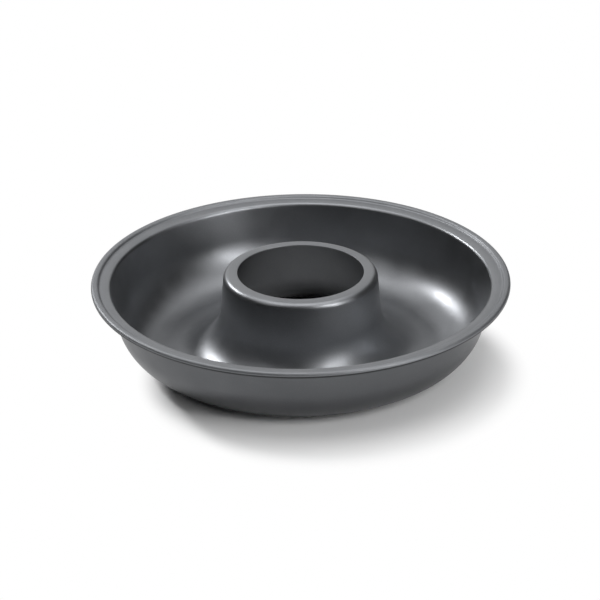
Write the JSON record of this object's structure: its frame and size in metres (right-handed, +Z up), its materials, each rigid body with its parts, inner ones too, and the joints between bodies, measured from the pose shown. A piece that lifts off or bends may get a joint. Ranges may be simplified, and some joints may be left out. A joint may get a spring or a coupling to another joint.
{
  "type": "ring cake pan",
  "caption": "Plain round ring cake pan of coated steel sheet: smooth rounded channel round a flared open centre tube, with a sloped rim rolled round a wire.",
  "frame": {"origin": "centre of the base on the pan's axis, level with the flat foot ring that it stands on", "axes": "+Z up along the pan's axis; +X to the right and +Y to the back, where the rim wire's ends meet"},
  "size_m": [0.28, 0.28, 0.0562],
  "materials": {
    "non_stick_coating": "satin dark graphite non-stick coating on steel",
    "steel_wire": "drawn steel wire"
  },
  "bodies": {
    "root": {"pan_shell": "non_stick_coating", "rim_wire": "steel_wire"}
  },
  "joints": []
}
